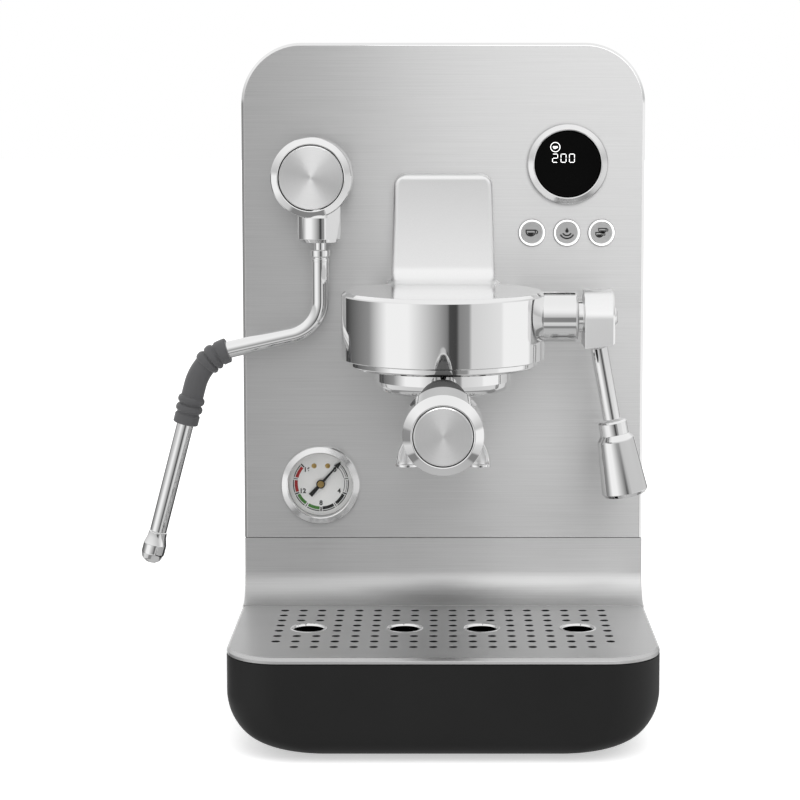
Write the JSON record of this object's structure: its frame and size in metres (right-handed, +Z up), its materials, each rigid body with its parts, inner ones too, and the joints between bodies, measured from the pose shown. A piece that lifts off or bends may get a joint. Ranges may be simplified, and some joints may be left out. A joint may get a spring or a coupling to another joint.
{
  "type": "espresso machine",
  "caption": "Counter-top espresso machine with lever-operated steam wand, portafilter, pressure gauge, round display, drip tray and rear water tank.",
  "frame": {"origin": "on the worktop plane at the centre of the bounding box, so the middle of the body is 29.8 mm to +X of it", "axes": "+Z up, +Y from the front panel towards the back, +X to the right seen from the front"},
  "size_m": [0.2994, 0.5268, 0.3933],
  "materials": {
    "brushed_steel": "horizontally brushed, satin",
    "chrome": "mirror polished",
    "black_plastic": "matte moulded black",
    "black_paint": "satin black powder coat",
    "grey_rubber": "matte grey silicone",
    "black_rubber": "matte black rubber",
    "smoked_plastic": "smoked clear plastic",
    "black_glass": "glossy black glass over a display",
    "clear_glass": "clear",
    "white_enamel": "satin printed dial",
    "lit_plastic": "translucent white, lit from behind",
    "grey_plastic": "satin grey",
    "dark_metal": "dark plated",
    "aluminium": "bare sheet or casting",
    "brass": "bare",
    "board_green": "solder mask",
    "white_hose": "translucent silicone"
  },
  "bodies": {
    "root": {"front_panel": "brushed_steel", "lower_splash_panel": "brushed_steel", "cup_warmer_tray": "brushed_steel", "shower_screen": "brushed_steel", "wand_boss_cap": "brushed_steel", "group_housing": "chrome", "group_head": "chrome", "steam_valve_housing": "chrome", "wand_boss": "chrome", "wand_socket": "chrome", "gauge_bezel": "chrome", "display_bezel": "chrome", "base_chassis": "black_plastic", "gauge_case": "black_plastic", "casing_shell": "black_paint", "rear_cover": "black_paint", "foot_front_left": "black_rubber", "foot_front_right": "black_rubber", "foot_rear_left": "black_rubber", "foot_rear_right": "black_rubber", "cord_gland": "black_rubber", "group_gasket": "black_rubber", "display_module": "black_glass", "gauge_glass": "clear_glass", "gauge_dial": "white_enamel", "button_ring_left": "lit_plastic", "button_ring_middle": "lit_plastic", "button_ring_right": "lit_plastic", "vibration_pump": "dark_metal", "thermoblock": "aluminium", "tank_shelf": "aluminium", "group_bracket": "aluminium", "solenoid_valve": "brass", "pressure_pipe": "brass", "steam_pipe": "brass", "control_board": "board_green", "suction_hose": "white_hose"},
    "portafilter": {"portafilter_body": "chrome", "filter_basket": "brushed_steel", "handle_collar": "chrome", "portafilter_handle": "black_plastic", "handle_cap": "brushed_steel", "coffee_spout": "chrome"},
    "steam_lever": {"lever_block": "brushed_steel", "lever_cap_screw": "chrome", "lever_rod": "chrome", "lever_knob": "chrome"},
    "wand": {"wand_neck": "chrome", "wand_tube": "chrome", "wand_grip": "grey_rubber", "wand_nozzle": "chrome"},
    "left_button": {"button_left": "grey_plastic"},
    "middle_button": {"button_middle": "grey_plastic"},
    "right_button": {"button_right": "grey_plastic"},
    "needle": {"gauge_needle": "dark_metal"},
    "tray": {"drip_tray": "black_plastic"},
    "grille": {"drip_grille": "brushed_steel"},
    "tank": {"water_tank": "smoked_plastic"},
    "tank_lid": {"water_tank_lid": "black_plastic"},
    "switch_rocker": {"power_switch": "black_plastic"}
  },
  "joints": [
    {"name": "portafilter_turn", "type": "hinge", "parent": "root", "child": "portafilter", "pos_m": [0.0298, -0.1014, 0.21], "axis": [0, 0, 1], "range_deg": [-50, 0]},
    {"name": "steam_lever_turn", "type": "hinge", "parent": "root", "child": "steam_lever", "pos_m": [0.1188, -0.1014, 0.2375], "axis": [1, 0, 0], "range_deg": [-80, 0]},
    {"name": "wand_swing", "type": "hinge", "parent": "root", "child": "wand", "pos_m": [-0.0425, -0.0504, 0.27], "axis": [0, 0, 1], "range_deg": [-5, 80]},
    {"name": "gauge_needle_turn", "type": "hinge", "parent": "root", "child": "needle", "pos_m": [-0.0441, -0.0301, 0.1287], "axis": [0, 1, 0], "range_deg": [0, 270], "stiffness_Nm_per_rad": 0.001},
    {"name": "drip_tray_slide", "type": "slide", "parent": "root", "child": "tray", "axis": [0, -1, 0], "range_m": [0, 0.14]},
    {"name": "drip_grille_lift", "type": "slide", "parent": "tray", "child": "grille", "axis": [0, 0, 1], "range_m": [0, 0.03]},
    {"name": "water_tank_lift", "type": "slide", "parent": "root", "child": "tank", "axis": [0, 0, 1], "range_m": [0, 0.26]},
    {"name": "tank_lid_hinge", "type": "hinge", "parent": "tank", "child": "tank_lid", "pos_m": [0.0298, 0.246, 0.393], "axis": [-1, 0, 0], "range_deg": [0, 95]},
    {"name": "power_switch_rock", "type": "hinge", "parent": "root", "child": "switch_rocker", "pos_m": [0.1001, 0.2501, 0.09], "axis": [1, 0, 0], "range_deg": [0, 12]},
    {"name": "button_left_press", "type": "slide", "parent": "root", "child": "left_button", "axis": [0, 1, 0], "range_m": [0, 0.0012], "stiffness_N_per_m": 400},
    {"name": "button_middle_press", "type": "slide", "parent": "root", "child": "middle_button", "axis": [0, 1, 0], "range_m": [0, 0.0012], "stiffness_N_per_m": 400},
    {"name": "button_right_press", "type": "slide", "parent": "root", "child": "right_button", "axis": [0, 1, 0], "range_m": [0, 0.0012], "stiffness_N_per_m": 400}
  ]
}
